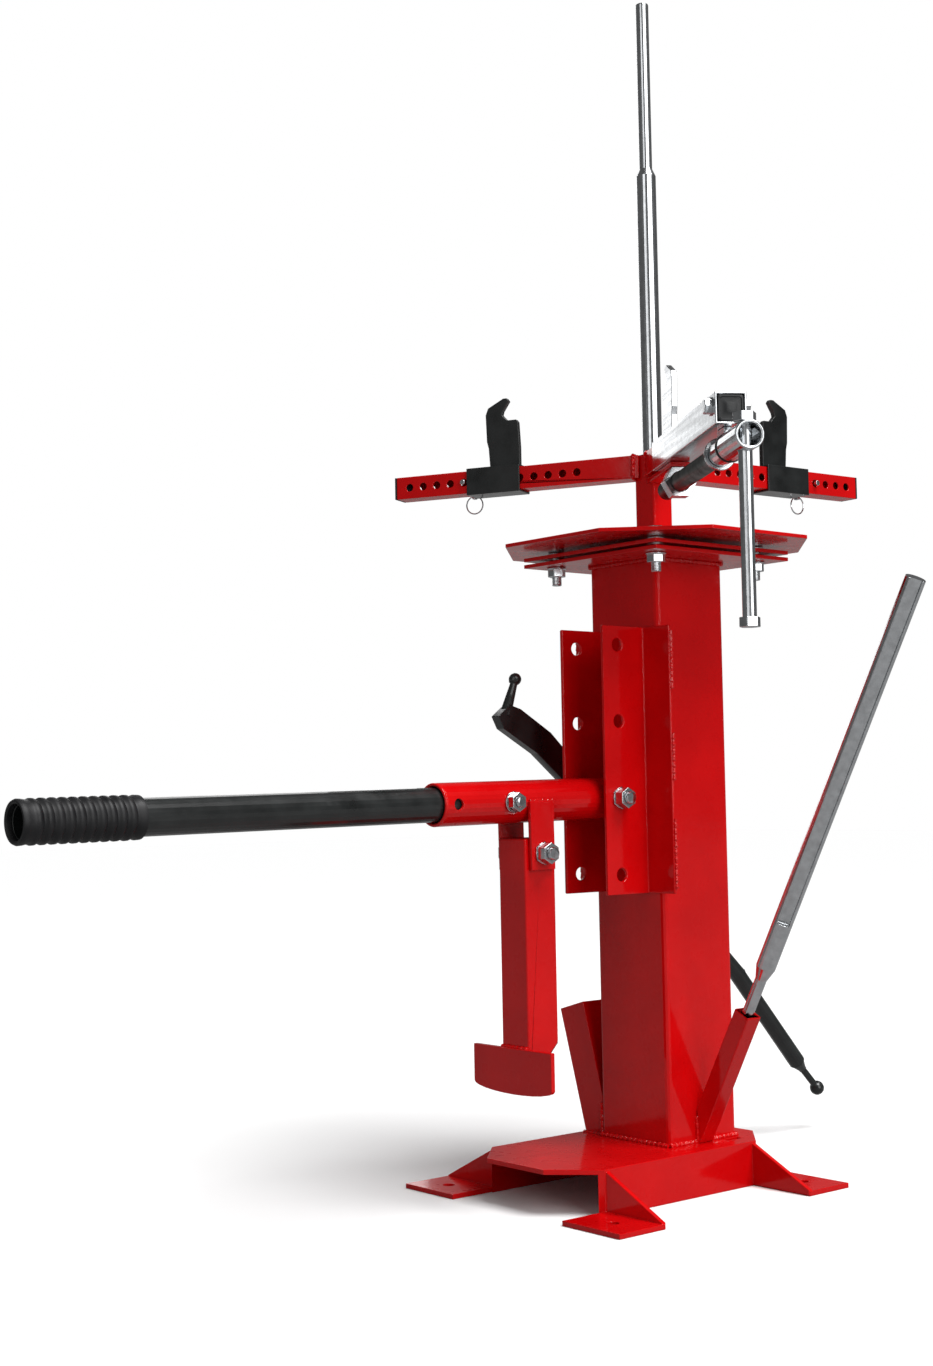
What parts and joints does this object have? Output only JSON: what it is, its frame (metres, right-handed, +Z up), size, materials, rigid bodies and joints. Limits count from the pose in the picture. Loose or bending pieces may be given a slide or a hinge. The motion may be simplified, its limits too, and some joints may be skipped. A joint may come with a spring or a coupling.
{
  "type": "bead breaker",
  "caption": "Floor-standing manual tyre changer: a square column with a lever bead breaker, a deck plate, three clamping jaws on drilled arms, a centre rod and loose tools.",
  "frame": {"origin": "on the floor, under the middle of the whole object", "axes": "+Z up along the column; the breaker lever reaches out along -X; the front tool socket leans towards -Y"},
  "size_m": [1.0978, 0.627, 1.267],
  "materials": {
    "red_paint": "glossy red powder coat with a light orange peel",
    "black_paint": "satin black paint",
    "black_plastic": "plain black moulded plugs",
    "black_rubber": "ribbed black hand grip",
    "zinc": "bright zinc plate with fine drawing lines",
    "dark_steel": "dark threaded steel"
  },
  "bodies": {
    "stand": {"base": "red_paint", "column": "red_paint", "column_flange": "red_paint", "hub_flange": "red_paint", "deck_plate": "red_paint", "deck_bolt_1": "zinc", "deck_bolt_2": "zinc", "deck_bolt_3": "zinc", "deck_bolt_4": "zinc", "deck_nut_1": "zinc", "deck_nut_2": "zinc", "deck_nut_3": "zinc", "deck_nut_4": "zinc", "hub_post": "red_paint", "arm_left": "red_paint", "arm_right": "red_paint", "arm_front": "red_paint", "arm_plug_left": "black_plastic", "arm_plug_right": "black_plastic", "bracket_near": "red_paint", "bracket_far": "red_paint", "lever_pivot_bolt": "zinc", "lever_pivot_nut": "zinc", "nut_bracket": "red_paint", "screw_nut": "zinc", "iron_socket": "red_paint", "bar_socket": "red_paint", "bar_holder": "red_paint"},
    "lever": {"lever_sleeve": "red_paint", "handle_tube": "black_paint", "handle_grip": "black_rubber", "handle_bolt": "zinc", "handle_nut": "zinc"},
    "pusher": {"pusher_tube": "red_paint", "pusher_shoe": "red_paint", "pusher_bolt": "zinc", "pusher_nut": "zinc"},
    "jaw_left": {"jaw_sleeve_left": "black_paint", "jaw_hook_left": "black_paint"},
    "jaw_right": {"jaw_sleeve_right": "black_paint", "jaw_hook_right": "black_paint"},
    "pin_left": {"pin_left": "zinc"},
    "pin_right": {"pin_right": "zinc"},
    "ring_left": {"pin_ring_left": "zinc"},
    "ring_right": {"pin_ring_right": "zinc"},
    "clamp": {"clamp_slide": "zinc", "clamp_cap": "black_plastic", "jaw_hook_front": "zinc", "screw_bush": "zinc"},
    "screw": {"clamp_screw": "dark_steel", "screw_head": "zinc"},
    "t_bar": {"t_bar": "zinc", "t_bar_nut": "zinc"},
    "centre_rod": {"centre_rod": "zinc"},
    "tyre_iron": {"tyre_iron": "zinc"},
    "mounting_bar": {"mounting_bar": "black_paint"}
  },
  "joints": [
    {"name": "lever_lift", "type": "hinge", "parent": "stand", "child": "lever", "pos_m": [0.10633, 0.03437, 0.4015], "axis": [0, 1, 0], "range_deg": [-18, 60]},
    {"name": "pusher_swing", "type": "hinge", "parent": "lever", "child": "pusher", "pos_m": [0.00565, 0.03437, 0.34841], "axis": [0, 1, 0], "range_deg": [-12, 50]},
    {"name": "jaw_left_slide", "type": "slide", "parent": "stand", "child": "jaw_left", "axis": [-0.4384, 0.8988, 0], "range_m": [-0.118, 0]},
    {"name": "jaw_right_slide", "type": "slide", "parent": "stand", "child": "jaw_right", "axis": [0.9976, -0.0698, 0], "range_m": [-0.126, 0.008]},
    {"name": "pin_left_pull", "type": "slide", "parent": "stand", "child": "pin_left", "axis": [0.8988, 0.4384, 0], "range_m": [0, 0.04]},
    {"name": "pin_right_pull", "type": "slide", "parent": "stand", "child": "pin_right", "axis": [0.0698, 0.9976, 0], "range_m": [0, 0.04]},
    {"name": "ring_left_swing", "type": "hinge", "parent": "pin_left", "child": "ring_left", "pos_m": [0.11737, 0.23812, 0.745], "axis": [-0.4384, 0.8988, 0], "range_deg": [-45, 15]},
    {"name": "ring_right_swing", "type": "hinge", "parent": "pin_right", "child": "ring_right", "pos_m": [0.43374, 0.03491, 0.745], "axis": [0.9976, -0.0698, 0], "range_deg": [-45, 45]},
    {"name": "clamp_travel", "type": "slide", "parent": "stand", "child": "clamp", "axis": [-0.5299, -0.848, 0], "range_m": [-0.034, 0.04]},
    {"name": "screw_turn", "type": "hinge", "parent": "clamp", "child": "screw", "pos_m": [0.19783, 0.03437, 0.7209], "axis": [-0.5299, -0.848, 0], "range_deg": [-4900, 5762]},
    {"name": "t_bar_slide", "type": "slide", "parent": "screw", "child": "t_bar", "axis": [0, 0, 1], "range_m": [0, 0.14]},
    {"name": "centre_rod_lift", "type": "slide", "parent": "stand", "child": "centre_rod", "axis": [0, 0, 1], "range_m": [0, 0.12]},
    {"name": "iron_pull", "type": "slide", "parent": "stand", "child": "tyre_iron", "axis": [0, -0.4695, 0.8829], "range_m": [0, 0.1]},
    {"name": "bar_pull", "type": "slide", "parent": "stand", "child": "mounting_bar", "axis": [0.7431, 0, -0.6691], "range_m": [-0.24, 0]}
  ],
  "couplings": [
    {"joint": "screw_turn", "follows": "clamp_travel", "rad_per_m": 2513.3}
  ]
}
